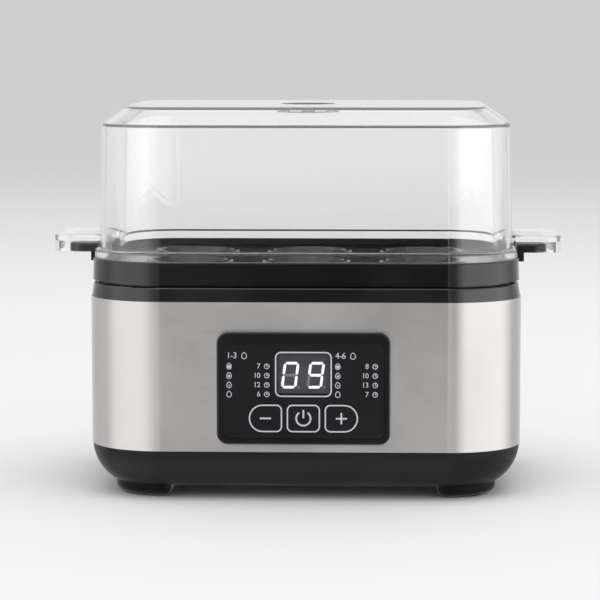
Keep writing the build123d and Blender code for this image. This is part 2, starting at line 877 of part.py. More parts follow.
with BuildPart() as lid:
    wall_foot = rim_z + lid_flange_h
    chamfer_run = lid_wall_inset + lid_draft + lid_chamfer_w
    slope = atan2(lid_chamfer_h, lid_chamfer_w)
    slope_x = lid_t * tan(slope / 2)
    slope_z = lid_t * tan((pi / 2 - slope) / 2)
    sweep(
        ring_section(
            [
                (lid_flange_inset, rim_z),
                (lid_flange_inset, wall_foot),
                (lid_wall_inset, wall_foot),
                (lid_wall_inset + lid_draft, crease_z),
                (chamfer_run, lid_top),
                (chamfer_run + lid_top_round, lid_top),
                (chamfer_run + lid_top_round, lid_top - lid_t),
                (chamfer_run + slope_x, lid_top - lid_t),
                (lid_wall_inset + lid_draft + lid_t, crease_z - slope_z),
                (lid_wall_inset + lid_t, wall_foot),
                (lid_wall_inset + lid_t, rim_z - lid_spigot),
                (lid_wall_inset, rim_z - lid_spigot),
                (lid_wall_inset, rim_z),
            ],
            [
                (1, lid_flange_round),
                (2, lid_foot_round),
                (3, lid_crease_round),
                (4, lid_top_round),
                (7, lid_top_round - lid_t),
                (8, lid_crease_round / 2),
            ],
        ),
        path=body_outline,
    )
    extrude(plan(chamfer_run + lid_top_round - lid_lap, lid_top - lid_t), amount=lid_t)
    vent_low = lid_top - lid_vent_drop - lid_vent_t
    with BuildSketch(Plane.XY.offset(vent_low)):
        Circle(lid_vent_r + lid_vent_t)
    extrude(amount=lid_top - lid_t / 2 - vent_low)
    with BuildSketch(Plane.XY.offset(lid_top)):
        Circle(lid_vent_r)
    extrude(amount=-lid_vent_drop, mode=Mode.SUBTRACT)
    with BuildSketch(Plane.XY.offset(lid_top)):
        with GridLocations(steam_vent_pitch, 0, 3, 1):
            Circle(steam_vent_r)
    extrude(amount=vent_low - lid_top, mode=Mode.SUBTRACT)
    add(lid_grip())
    mirror(lid_grip(), about=Plane.YZ)
write(lid, "lid")

# Control bezel: a frame lapped over the sleeve's window, with a box behind it for the board
bezel_y = front_y - panel_proud
fascia_y = bezel_y + fascia_recess
plate_y = fascia_y + fascia_t
board_y = front_y + panel_depth
fascia_w = panel_w - 2 * fascia_side
fascia_h = panel_h - fascia_top - fascia_bottom
fascia_z = panel_z + (fascia_bottom - fascia_top) / 2
key_row = [(-key_pitch, key_z), (0, key_z), (key_pitch, key_z)]


def key_shape(number, grow):
    """A key's outline: the outer keys are rounded off on their outer side. grow widens it all round."""
    half = key_h / 2 + grow
    with BuildSketch() as shape:
        Rectangle(key_w + 2 * grow, key_h + 2 * grow)
        if number != 1:
            outer = shape.vertices().group_by(Axis.X)[0 if number == 0 else -1]
            inner = shape.vertices().group_by(Axis.X)[-1 if number == 0 else 0]
            fillet(outer, half - key_end_trim)
            fillet(inner, key_corner + grow)
        else:
            fillet(shape.vertices(), key_corner + grow)
    return shape.sketch


box_w = panel_w - 2 * panel_lap - 2 * fit_gap
box_h = panel_h - 2 * panel_lap - 2 * fit_gap
with BuildPart() as control_bezel:
    with BuildSketch(front_plane(front_y)):
        with Locations((0, panel_z)):
            RectangleRounded(panel_w, panel_h, panel_r)
    extrude(amount=panel_proud)
    fillet(control_bezel.faces().sort_by(Axis.Y)[0].edges(), panel_round)
    with BuildSketch(front_plane(front_y)):
        with Locations((0, panel_z)):
            RectangleRounded(box_w, box_h, panel_r - panel_lap)
    extrude(amount=-panel_depth)
    with BuildSketch(front_plane(board_y)):
        with Locations((0, panel_z)):
            RectangleRounded(box_w - 2 * panel_wall, box_h - 2 * panel_wall, box_r)
    extrude(amount=board_y - plate_y - panel_plate_t, mode=Mode.SUBTRACT)
    with BuildSketch(front_plane(board_y)):
        with Locations((0, panel_z)):
            with GridLocations(2 * board_hole_x, 2 * board_hole_z, 2, 2):
                Circle(board_boss_r)
    extrude(amount=board_y - plate_y - panel_plate_t)
    with BuildSketch(front_plane(board_y)):
        with Locations((0, panel_z)):
            with GridLocations(2 * board_hole_x, 2 * board_hole_z, 2, 2):
                Circle(small_shank_r + shank_gap)
    extrude(amount=board_y - plate_y - panel_plate_t, mode=Mode.SUBTRACT)
    with BuildSketch(front_plane(fascia_y)):
        with Locations((0, fascia_z)):
            RectangleRounded(fascia_w + 2 * fascia_gap, fascia_h + 2 * fascia_gap, fascia_r)
    extrude(amount=fascia_recess, mode=Mode.SUBTRACT)
    with BuildSketch(front_plane(plate_y)):
        with Locations((0, fascia_z)):
            RectangleRounded(fascia_w + 2 * fascia_gap, fascia_h + 2 * fascia_gap, fascia_r)
    extrude(amount=fascia_t, mode=Mode.SUBTRACT)
    with BuildSketch(front_plane(bezel_y)):
        with Locations((0, display_z)):
            Rectangle(display_w - 2 * display_ledge, display_h - 2 * display_ledge)
        for number, place in enumerate(key_row):
            with Locations(place):
                add(key_shape(number, key_gap))
    extrude(amount=-panel_depth / 2, mode=Mode.SUBTRACT)
    for side in (-1, 1):
        edge_z = panel_z + side * box_h / 2
        hook_plane = Plane(
            origin=(0, front_y + sleeve_t + fit_gap, edge_z), x_dir=(1, 0, 0), z_dir=(0, 1, 0)
        )
        with BuildSketch(hook_plane):
            with GridLocations(2 * hook_x, 0, 2, 1):
                Rectangle(hook_w, 2 * hook_h)
        extrude(amount=hook_l)
write(control_bezel, "control_bezel")

with BuildPart() as fascia:
    with BuildSketch(front_plane(plate_y)):
        with Locations((0, fascia_z)):
            RectangleRounded(fascia_w, fascia_h, fascia_r)
        with Locations((0, display_z)):
            RectangleRounded(
                display_w + 2 * fascia_gap, display_h + 2 * fascia_gap, display_r, mode=Mode.SUBTRACT
            )
        for number, place in enumerate(key_row):
            with Locations(place):
                add(key_shape(number, key_gap), mode=Mode.SUBTRACT)
    extrude(amount=fascia_t)
write(fascia, "fascia")

with BuildPart() as display_window:
    with BuildSketch(front_plane(plate_y)):
        with Locations((0, display_z)):
            RectangleRounded(display_w, display_h, display_r)
    extrude(amount=fascia_t)
write(display_window, "display_window")

# Keys, each with a retaining flange, a stem and the plunger of its switch
flange_y = plate_y + panel_plate_t
switch_y = board_y - switch_h
plunger_y = switch_y - key_travel - plunger_out
for number, (key_name, place) in enumerate(zip(("minus", "power", "plus"), key_row)):
    with BuildPart() as key:
        with BuildSketch(front_plane(flange_y)):
            with Locations(place):
                add(key_shape(number, 0))
        extrude(amount=flange_y - fascia_y + key_proud)
        fillet(key.faces().sort_by(Axis.Y)[0].edges(), key_proud)
        with BuildSketch(front_plane(flange_y + key_flange_t)):
            with Locations(place):
                add(key_shape(number, key_flange))
        extrude(amount=key_flange_t)
        with BuildSketch(front_plane(plunger_y)):
            with Locations(place):
                Circle(key_stem_r)
        extrude(amount=plunger_y - flange_y - key_flange_t)
    write(key, f"{key_name}_key")
    with BuildPart() as plunger:
        with BuildSketch(front_plane(switch_y + plunger_in)):
            with Locations(place):
                Circle(plunger_r)
        extrude(amount=switch_y + plunger_in - plunger_y)
    write(plunger, f"{key_name}_plunger")

# Control board behind the bezel, with the key switches, the display module, a buzzer and the processor
with BuildPart() as key_switches:
    with BuildSketch(front_plane(board_y)):
        with Locations(*key_row):
            Rectangle(switch_w, switch_w)
    extrude(amount=switch_h)
    with BuildSketch(front_plane(board_y - switch_wall)):
        with Locations(*key_row):
            Circle(plunger_r + plunger_gap)
    extrude(amount=switch_h, mode=Mode.SUBTRACT)
write(key_switches, "key_switches")

with BuildPart() as display_module:
    with BuildSketch(front_plane(board_y)):
        with Locations((0, display_z)):
            Rectangle(module_w, module_h)
    extrude(amount=module_t)
write(display_module, "display_module")

with BuildPart() as control_board:
    with BuildSketch(front_plane(board_y + board_t)):
        with Locations((0, panel_z)):
            Rectangle(board_w, board_h)
            with GridLocations(2 * board_hole_x, 2 * board_hole_z, 2, 2):
                Circle(small_shank_r + shank_gap, mode=Mode.SUBTRACT)
    extrude(amount=board_t)
write(control_board, "control_board")

board_back = board_y + board_t
with BuildPart() as board_screws:
    with BuildSketch(front_plane(board_back)):
        with Locations((0, panel_z)):
            with GridLocations(2 * board_hole_x, 2 * board_hole_z, 2, 2):
                Circle(small_head_r)
    extrude(amount=-small_head_h)
    with BuildSketch(front_plane(board_back)):
        with Locations((0, panel_z)):
            with GridLocations(2 * board_hole_x, 2 * board_hole_z, 2, 2):
                Circle(small_shank_r)
    extrude(amount=board_back - plate_y - panel_plate_t - screw_end_gap)
write(board_screws, "board_screws")

with BuildPart() as buzzer:
    with BuildSketch(front_plane(board_back)):
        with Locations((buzzer_x, display_z)):
            Circle(buzzer_r)
    extrude(amount=-buzzer_h)
    with BuildSketch(front_plane(board_back + buzzer_h)):
        with Locations((buzzer_x, display_z)):
            Circle(buzzer_hole_r)
    extrude(amount=buzzer_hole_depth, mode=Mode.SUBTRACT)
write(buzzer, "buzzer")

with BuildPart() as processor:
    with BuildSketch(front_plane(board_back)):
        with Locations((chip_x, display_z)):
            Rectangle(chip_w, chip_h)
    extrude(amount=-chip_t)
write(processor, "processor")

# Power board on the housing's standoffs, with its relay, transformer, capacitor, terminals and socket
power_z = floor_top + standoff_h
power_top = power_z + board_t
with BuildPart() as power_board:
    with BuildSketch(Plane.XY.offset(power_z)):
        with Locations((0, power_board_y)):
            Rectangle(power_board_w, power_board_d)
            with GridLocations(
                power_board_w - 2 * standoff_inset, power_board_d - 2 * standoff_inset, 2, 2
            ):
                Circle(small_shank_r + shank_gap, mode=Mode.SUBTRACT)
    extrude(amount=board_t)
write(power_board, "power_board")

with BuildPart() as power_board_screws:
    with BuildSketch(Plane.XY.offset(power_top)):
        with Locations((0, power_board_y)):
            with GridLocations(
                power_board_w - 2 * standoff_inset, power_board_d - 2 * standoff_inset, 2, 2
            ):
                Circle(small_head_r)
    extrude(amount=small_head_h)
    with BuildSketch(Plane.XY.offset(power_top)):
        with Locations((0, power_board_y)):
            with GridLocations(
                power_board_w - 2 * standoff_inset, power_board_d - 2 * standoff_inset, 2, 2
            ):
                Circle(small_shank_r)
    extrude(amount=-(board_t + standoff_h - screw_end_gap))
write(power_board_screws, "power_board_screws")

with BuildPart() as relay:
    add(block(*relay_size, *relay_at, power_top))
    chamfer(relay.edges().filter_by(Axis.Z), case_edge)
write(relay, "relay")

core_w, core_d, core_h = transformer_size
with BuildPart() as transformer:
    add(block(core_w, core_d / 2, core_h, *transformer_at, power_top))
    add(block(winding_w, core_d, winding_h, *transformer_at, power_top))
write(transformer, "transformer")

with BuildPart() as capacitor:
    with BuildSketch(Plane.XY.offset(power_top)):
        with Locations(capacitor_at):
            Circle(capacitor_r)
    extrude(amount=capacitor_h)
    fillet(capacitor.edges().group_by(Axis.Z)[-1], case_edge)
write(capacitor, "capacitor")

with BuildPart() as terminal_block:
    add(block(*block_size, *block_at, power_top))
    with BuildSketch(Plane.XY.offset(power_top + block_size[2])):
        with Locations(block_at):
            with GridLocations(block_size[0] / terminal_count, 0, terminal_count, 1):
                Circle(terminal_r)
    extrude(amount=-terminal_depth, mode=Mode.SUBTRACT)
write(terminal_block, "terminal_block")

with BuildPart() as ribbon_socket:
    add(block(*socket_size, *socket_at, power_top))
write(ribbon_socket, "ribbon_socket")

# Ribbon cable from the socket on the power board up and forward to the control board
with BuildPart() as ribbon_cable:
    socket_x, socket_y = socket_at
    socket_top = power_top + socket_size[2]
    with BuildLine():
        ribbon_route = FilletPolyline(
            (socket_x, socket_y, socket_top),
            (socket_x, socket_y, socket_top + ribbon_up),
            (socket_x, board_back, socket_top + ribbon_up),
            radius=ribbon_turn,
        )
    with BuildSketch(Plane.XY.offset(socket_top)):
        with Locations(socket_at):
            Rectangle(ribbon_w, ribbon_t)
    sweep()
write(ribbon_cable, "ribbon_cable")


def wire(*points):
    """A round lead along straight runs, joined by arcs as large as the runs allow."""
    turns = []
    for before, corner, after in zip(points, points[1:], points[2:]):
        first = Vector(*corner) - Vector(*before)
        second = Vector(*after) - Vector(*corner)
        half_turn = radians(first.get_angle(second) / 2)
        turns.append(turn_share * min(first.length, second.length) / tan(half_turn))
    with BuildPart() as lead:
        with BuildLine():
            route = FilletPolyline(*points, radius=turns)
        with BuildSketch(Plane(origin=route @ 0, z_dir=route % 0)):
            Circle(lead_r)
        sweep()
    return lead.part


# Heater circuit in series: terminal, element, thermostat, fuse, terminal
element_x = element_ends / 2
element_y = element_d / 2
element_z = spreader_low - element_drop
blade_z = spreader_low - stat_body_h - blade_l
droop_z = blade_z - lead_droop
terminal_y = block_at[1]
terminal_z = power_top + block_size[2] - terminal_depth
first_terminal_x = block_at[0] - block_size[0] / terminal_count
last_terminal_x = block_at[0] + block_size[0] / terminal_count
fuse_left = fuse_x - fuse_l / 2 - fuse_lead_l
fuse_right = fuse_x + fuse_l / 2 + fuse_lead_l
with BuildPart() as heater_leads:
    add(
        wire(
            (element_x, element_y, element_z),
            (element_x, element_y, element_z - lead_drop),
            (first_terminal_x, terminal_y, terminal_z + lead_drop),
            (first_terminal_x, terminal_y, terminal_z),
        )
    )
    add(
        wire(
            (-element_x, element_y, element_z),
            (-element_x, element_y, droop_z),
            (-blade_x, 0, droop_z),
            (-blade_x, 0, blade_z),
        )
    )
    add(
        wire(
            (blade_x, 0, blade_z),
            (blade_x, 0, droop_z),
            (fuse_left - lead_side, fuse_y, droop_z),
            (fuse_left - lead_side, fuse_y, fuse_z),
            (fuse_left, fuse_y, fuse_z),
        )
    )
    add(
        wire(
            (fuse_right, fuse_y, fuse_z),
            (fuse_right + lead_side, fuse_y, fuse_z),
            (fuse_right + lead_side, fuse_y, fuse_z - lead_drop),
            (last_terminal_x, terminal_y, terminal_z + lead_drop),
            (last_terminal_x, terminal_y, terminal_z),
        )
    )
write(heater_leads, "heater_leads")

# Cord gland: a grommet clipped in the rear of the sleeve, with the bore that a mains lead leaves by
rear_plane = Plane(origin=(gland_x, rear_y, gland_z), x_dir=(-1, 0, 0), z_dir=(0, 1, 0))
with BuildPart() as cord_gland:
    with BuildSketch(rear_plane):
        Circle(gland_flange_r)
    extrude(amount=gland_flange_t)
    fillet(cord_gland.faces().sort_by(Axis.Y)[-1].edges(), gland_flange_t / 2)
    with BuildSketch(rear_plane):
        RectangleRounded(
            gland_neck_w - 2 * gland_gap, gland_neck_w - 2 * gland_gap, gland_neck_r - gland_gap
        )
    extrude(amount=-sleeve_t)
    with BuildSketch(rear_plane.offset(-sleeve_t)):
        Circle(gland_flange_r - gland_flange_t / 2)
    extrude(amount=-gland_inner_t)
    with BuildSketch(rear_plane.offset(gland_flange_t)):
        Circle(gland_bore_r)
    extrude(amount=-(gland_flange_t + sleeve_t + gland_inner_t), mode=Mode.SUBTRACT)
write(cord_gland, "cord_gland")
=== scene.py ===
"""The looks of an electric egg cooker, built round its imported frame. Lengths are in metres."""

import json
from math import cos, degrees, pi, radians, sin

import bmesh
import bpy
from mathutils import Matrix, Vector


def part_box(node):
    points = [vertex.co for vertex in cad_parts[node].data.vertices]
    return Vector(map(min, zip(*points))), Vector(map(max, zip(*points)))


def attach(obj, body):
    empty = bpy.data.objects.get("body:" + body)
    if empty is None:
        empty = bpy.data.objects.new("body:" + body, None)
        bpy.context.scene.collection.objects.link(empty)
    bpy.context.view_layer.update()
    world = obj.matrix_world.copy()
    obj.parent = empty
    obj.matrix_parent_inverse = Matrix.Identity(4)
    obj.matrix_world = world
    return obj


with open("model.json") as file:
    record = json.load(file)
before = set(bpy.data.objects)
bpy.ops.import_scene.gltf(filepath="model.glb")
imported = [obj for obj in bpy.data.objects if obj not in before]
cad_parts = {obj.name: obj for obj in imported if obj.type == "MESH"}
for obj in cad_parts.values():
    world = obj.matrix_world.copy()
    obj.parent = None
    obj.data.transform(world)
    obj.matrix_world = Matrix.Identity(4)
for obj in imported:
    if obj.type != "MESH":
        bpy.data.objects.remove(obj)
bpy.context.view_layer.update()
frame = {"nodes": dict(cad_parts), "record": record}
MM = 0.001

# Camera: distance, height and angles that fit the photograph
CAMERA_FOCAL = 160.2
CAMERA_DISTANCE = 1325 * MM
CAMERA_HEIGHT = 229.0 * MM
CAMERA_PITCH = 0.10545
CAMERA_YAW = radians(1.9)
CAMERA_SIDESTEP = 4.1 * MM

# Surroundings: levels seen by the eye, through clear parts and by matt surfaces
BACKDROP = 0.62
THROUGH = 0.95
CEILING = 0.4
CEILING_RISE = (0.55, 0.80)
AMBIENT = 0.92

# What gloss sees in front: a dark middle, light above and below it, and more of both to the left.
# Heights are the z of a direction, and angles are in degrees from the front.
FRONT_DARK = 0.04
FRONT_HIGH = 1.1
HIGH_RISE = (0.22, 0.50)
HIGH_FALL = (0.75, 0.95)
HIGH_LEAST = 0.4
FRONT_LOW = 1.0
LOW_RISE = (-0.36, -0.66)
FRONT_LEFT = 1.8
FRONT_LEFT_RISE = (-4.0, 12.0)

# What gloss sees at the sides: two softboxes as high as the belt, and a narrow strip on the right
LEFT_BOX = 1.48
LEFT_BOX_RISE = (-3.0, 36.0)
LEFT_BOX_FALL = (75.0, 125.0)
RIGHT_BOX = 2.15
RIGHT_BOX_RISE = (5.0, 32.0)
RIGHT_BOX_FALL = (90.0, 125.0)
BELT_FALL = (0.20, 0.40)
STRIP = 1.2
STRIP_RISE = (4.0, 5.0)
STRIP_FALL = (7.0, 8.0)

# What gloss sees behind
SIDE_BACK = 0.7
BACK = 0.85
BEHIND_RISE = (95.0, 120.0)
BACK_RISE = (140.0, 160.0)

# Floor: its colours, and the distances over which it runs into the backdrop
FLOOR_RADIUS = 14.0
FLOOR_SEGMENTS = 96
FLOOR_PATCHES = 1.5
FLOOR_DARK = (0.81, 0.81, 0.815)
FLOOR_PALE = (0.83, 0.83, 0.835)
FLOOR_ROUGH = 0.9
FLOOR_SPECULAR = 0.1
FLOOR_FADE = (0.6, 3.2)

# Overhead light
LAMP_PLACE = Vector((0.2, -0.4, 1.9))
LAMP_WIDTH = 2.2
LAMP_DEPTH = 1.6
LAMP_POWER = 12.0

# Noise in the materials: how fine the slow patches are, and the range of noise that counts
NOISE_RANGE = (0.3, 0.7)
MOULDED_PATCHES = 26.0
METAL_PATCHES = 18.0
CLEAR_PATCHES = 9.0
SEGMENT_PATCHES = 400.0
FINE_DETAIL = 2.0
GRAIN_DETAIL = 4.0

# Moulded parts and metal
MOULDED_SHADES = (0.85, 1.15)
LOOKS_UP = (0.9, 0.98)
METAL_SHADES = (0.9, 1.08)
GRAIN_SHARE = 0.6
PATCH_SHARE = 0.4
METAL_SMOOTHER = 0.05
METAL_ROUGHER = 0.07

# Clear parts: a painted glow stands in for light that bounces long inside them and comes out of
# their edges, most in the lid's grips
CLEAR_SHADE = 0.985
CLEAR_ROUGHER = 0.015
CLEAR_SHADOW = (0.93, 0.93, 0.94, 1)
PAINTED_GLOW = 0.2
PAINTED_GRIP_GLOW = 0.7
GRIP_FADE = (104.0 * MM, 108.0 * MM)
PAINTED_GLOW_DEPTH = 5

# Display segments
SEGMENT_SHADE = 0.94
SEGMENT_ROUGH = 0.4

# A ray's depth of one kind is a whole number, and passing this means that it had that kind at all
ANY_DEPTH = 0.5

# Print on the panel
PRINT_THICK = 0.02 * MM
LINE_WIDTH = 0.65 * MM
KEY_FLANGE = 0.6 * MM
KEY_MARGIN = 0.15 * MM
KEY_OUTER_RADIUS = 6.7 * MM
KEY_INNER_RADIUS = 2.9 * MM
WINDOW_RADIUS = 2.9 * MM
ICON_BAR = 5.3 * MM
ICON_WIDTH = 0.8 * MM
POWER_RADIUS = 3.4 * MM
POWER_GAP = radians(36)
POWER_BAR_RISE = 0.62
POWER_BAR_LENGTH = 1.16
CORNER_STEPS = 12
ARC_STEPS = 32
DISC_STEPS = 20

# Display digits
DIGIT_HEIGHT = 12.7 * MM
DIGIT_WIDTH = 7.4 * MM
DIGIT_PITCH = 12.1 * MM
DIGIT_SHIFT = -0.3 * MM
DIGIT_CENTRE_Z = 60.7 * MM
SEGMENT_WIDTH = 1.25 * MM
SEGMENT_GAP = 0.18 * MM
DIGIT_SLANT = radians(7.2)
POINT_RADIUS = 0.6 * MM
POINT_ASIDE = 0.55
LIT = {"0": "abcdef", "9": "abcdfg"}

# Time table beside the display
TABLE_TOP_Z = 70.2 * MM
TABLE_FIRST_ROW_Z = 65.2 * MM
TABLE_ROW_PITCH = 4.45 * MM
TABLE_COLUMNS = {"left": (-36.4 * MM, -16.0 * MM), "right": (15.0 * MM, 35.2 * MM)}
TABLE_HEADS = {"left": "1-3", "right": "4-6"}
TABLE_TIMES = {"left": ("7", "10", "12", "6"), "right": ("8", "10", "13", "7")}
TABLE_YOLKS = (0.62, 0.44, 0.26, 0.0)
HEAD_SIZE = 4.1 * MM
TEXT_SIZE = 3.5 * MM
LETTER_SPACE = 0.92
LETTER_STEPS = 4
HEAD_EGG_ASIDE = 2.05
HEAD_EGG_SCALE = 1.05
TIME_ASIDE = 3.3
EGG_HEIGHT = 3.1 * MM
EGG_WIDTH = 2.5 * MM
EGG_TAPER = 0.16
EGG_STEPS = 28
YOLK_DROP = 0.06
MARK_LINE = 0.36 * MM
CLOCK_RADIUS = 1.3 * MM
CLOCK_STEPS = 24
CLOCK_HAND = 0.55


def new_object(name, mesh, material=None):
    """Links a mesh as a new object and gives it a material."""
    obj = bpy.data.objects.new(name, mesh)
    bpy.context.scene.collection.objects.link(obj)
    if material:
        obj.data.materials.append(material)
    return obj


class Nodes:
    """A small helper that adds and joins shader nodes."""

    def __init__(self, tree):
        self.tree = tree
        tree.nodes.clear()

    def add(self, kind, **values):
        """Adds a node: lower-case keys set properties, and keys that start with in_ set inputs."""
        node = self.tree.nodes.new(kind)
        for key, value in values.items():
            if key.startswith("in_"):
                node.inputs[key[3:].replace("_", " ")].default_value = value
            else:
                setattr(node, key, value)
        return node

    def link(self, source, target):
        """Joins an output socket to an input socket."""
        self.tree.links.new(source, target)

    def math(self, operation, first, second=None):
        """A math node on sockets or plain numbers, and its output."""
        node = self.add("ShaderNodeMath", operation=operation)
        for socket, value in zip(node.inputs, (first, second)):
            if value is None:
                continue
            if isinstance(value, (int, float)):
                socket.default_value = value
            else:
                self.link(value, socket)
        return node.outputs[0]

    def ramp(self, value, low, high, out_low=0.0, out_high=1.0):
        """Maps a value smoothly from low..high to out_low..out_high."""
        node = self.add("ShaderNodeMapRange", interpolation_type="SMOOTHSTEP")
        self.link(value, node.inputs["Value"])
        for key, number in (
            ("From Min", low),
            ("From Max", high),
            ("To Min", out_low),
            ("To Max", out_high),
        ):
            node.inputs[key].default_value = number
        return node.outputs["Result"]

    def axes(self, space):
        """The x, y and z outputs of a texture coordinate."""
        place = self.add("ShaderNodeTexCoord")
        split = self.add("ShaderNodeSeparateXYZ")
        self.link(place.outputs[space], split.inputs[0])
        return split.outputs

    def blend(self, factor, first, second):
        """A mix of two shaders, and its output: the second one where the factor is 1."""
        mix = self.add("ShaderNodeMixShader")
        for socket, value in zip(mix.inputs, (factor, first, second)):
            self.link(value, socket)
        return mix.outputs[0]

    def finish(self, kind, shader):
        """Joins a shader to the tree's output, which is made if there is none."""
        found = [node for node in self.tree.nodes if node.bl_idname == kind]
        output = found[0] if found else self.add(kind)
        self.link(shader, output.inputs[0])


def surface(name):
    """A new material with a Principled shader, and its node helper."""
    material = bpy.data.materials.new(name)
    material.use_nodes = True
    nodes = Nodes(material.node_tree)
    shader = nodes.add("ShaderNodeBsdfPrincipled")
    nodes.finish("ShaderNodeOutputMaterial", shader.outputs[0])
    return material, nodes, shader


def object_noise(nodes, scale, detail=3.0, stretch=(1, 1, 1)):
    """Noise in the object's own space, stretched along its axes."""
    place = nodes.add("ShaderNodeTexCoord")
    mapping = nodes.add("ShaderNodeMapping")
    mapping.inputs["Scale"].default_value = stretch
    noise = nodes.add("ShaderNodeTexNoise", in_Scale=scale, in_Detail=detail)
    nodes.link(place.outputs["Object"], mapping.inputs["Vector"])
    nodes.link(mapping.outputs[0], noise.inputs["Vector"])
    return noise.outputs["Fac"]


def tint(nodes, shader, factor, dark, light):
    """Varies the base colour between two colours."""
    mix = nodes.add("ShaderNodeMix", data_type="RGBA")
    mix.inputs["A"].default_value = (*dark, 1)
    mix.inputs["B"].default_value = (*light, 1)
    nodes.link(factor, mix.inputs["Factor"])
    nodes.link(mix.outputs["Result"], shader.inputs["Base Color"])


def bump(nodes, shader, height, distance):
    """Raises the surface by a height socket."""
    node = nodes.add("ShaderNodeBump", in_Distance=distance, in_Strength=1.0)
    nodes.link(height, node.inputs["Height"])
    nodes.link(node.outputs[0], shader.inputs["Normal"])


def moulded(
    name,
    colour,
    rough,
    grain=2200.0,
    depth=0.004 * MM,
    spread=0.06,
    specular=0.5,
    flat_top=None,
    painted_floor_shade=None,
):
    """Moulded plastic or rubber: a fine grain, and a slow change of gloss and shade.

    flat_top gives the roughness and specular level of faces that look up, and how far out to the
    sides they begin to fade and are gone. painted_floor_shade gives the heights where gloss is
    least
    and full, and its least share: a painted shade that dulls the gloss low down, standing in for
    the shadow below.
    """
    material, nodes, shader = surface(name)
    slow = object_noise(nodes, MOULDED_PATCHES)
    fine = object_noise(nodes, grain, FINE_DETAIL)
    dark, light = ([c * shade for c in colour] for shade in MOULDED_SHADES)
    tint(nodes, shader, slow, dark, light)
    gloss = nodes.ramp(slow, *NOISE_RANGE, rough - spread, rough + spread)
    if flat_top:
        top_rough, top_level, fade_from, fade_to = flat_top
        aside = nodes.math("ABSOLUTE", nodes.axes("Object")["X"])
        inside = nodes.ramp(aside, fade_from, fade_to, 1.0, 0.0)
        top = nodes.math("MULTIPLY", nodes.ramp(nodes.axes("Normal")["Z"], *LOOKS_UP), inside)
        gloss = nodes.math("ADD", gloss, nodes.math("MULTIPLY", top, top_rough - rough))
        level = nodes.math("ADD", nodes.math("MULTIPLY", top, top_level - specular), specular)
        nodes.link(level, shader.inputs["Specular IOR Level"])
    elif painted_floor_shade:
        # painted shade: the specular level falls low down, in place of the floor's shadow in what
        # the part mirrors
        low, high, share = painted_floor_shade
        level = nodes.ramp(nodes.axes("Object")["Z"], low, high, specular * share, specular)
        nodes.link(level, shader.inputs["Specular IOR Level"])
    else:
        shader.inputs["Specular IOR Level"].default_value = specular
    nodes.link(gloss, shader.inputs["Roughness"])
    bump(nodes, shader, fine, depth)
    return material


def metal(
    name,
    colour,
    rough,
    stretch=(1, 1, 1),
    scale=900.0,
    depth=0.003 * MM,
    turn=0.0,
    aniso=0.0,
):
    """Bare metal with a directional or even grain."""
    material, nodes, shader = surface(name)
    grain = object_noise(nodes, scale, GRAIN_DETAIL, stretch)
    slow = object_noise(nodes, METAL_PATCHES)
    dark, light = ([min(1, c * shade) for c in colour] for shade in METAL_SHADES)
    tint(nodes, shader, grain, dark, light)
    patches = nodes.math("MULTIPLY", slow, PATCH_SHARE)
    mixed = nodes.math("ADD", nodes.math("MULTIPLY", grain, GRAIN_SHARE), patches)
    gloss = nodes.ramp(mixed, *NOISE_RANGE, rough - METAL_SMOOTHER, rough + METAL_ROUGHER)
    nodes.link(gloss, shader.inputs["Roughness"])
    shader.inputs["Metallic"].default_value = 1.0
    shader.inputs["Anisotropic"].default_value = aniso
    shader.inputs["Anisotropic Rotation"].default_value = turn
    bump(nodes, shader, grain, depth)
    return material


def clear(name, colour, rough, ior=1.5):
    """Clear moulding that lets light through to what it covers, with a painted glow where a ray has
    bounced long inside it.
    """
    material, nodes, shader = surface(name)
    slow = object_noise(nodes, CLEAR_PATCHES)
    tint(nodes, shader, slow, [c * CLEAR_SHADE for c in colour], colour)
    gloss = nodes.ramp(slow, *NOISE_RANGE, rough, rough + CLEAR_ROUGHER)
    nodes.link(gloss, shader.inputs["Roughness"])
    shader.inputs["Transmission Weight"].default_value = 1.0
    shader.inputs["IOR"].default_value = ior
    shadow = nodes.add("ShaderNodeBsdfTransparent")
    shadow.inputs[0].default_value = CLEAR_SHADOW
    aside = nodes.math("ABSOLUTE", nodes.axes("Object")["X"])
    # painted glow: past a ray depth the clear part gives off light of its own, brighter towards the
    # grips
    painted_glow = nodes.add("ShaderNodeEmission")
    strength = nodes.ramp(aside, *GRIP_FADE, PAINTED_GLOW, PAINTED_GRIP_GLOW)
    nodes.link(strength, painted_glow.inputs["Strength"])
    path = nodes.add("ShaderNodeLightPath")
    long_inside = nodes.math("GREATER_THAN", path.outputs["Ray Depth"], PAINTED_GLOW_DEPTH)
    lit = nodes.blend(long_inside, shader.outputs[0], painted_glow.outputs[0])
    whole = nodes.blend(path.outputs["Is Shadow Ray"], lit, shadow.outputs[0])
    nodes.finish("ShaderNodeOutputMaterial", whole)
    return material


def glowing(name, colour, strength):
    """A lit or unlit display segment."""
    material, nodes, shader = surface(name)
    slow = object_noise(nodes, SEGMENT_PATCHES)
    tint(nodes, shader, slow, [c * SEGMENT_SHADE for c in colour], colour)
    shader.inputs["Emission Color"].default_value = (*colour, 1)
    shader.inputs["Emission Strength"].default_value = strength
    shader.inputs["Roughness"].default_value = SEGMENT_ROUGH
    return material


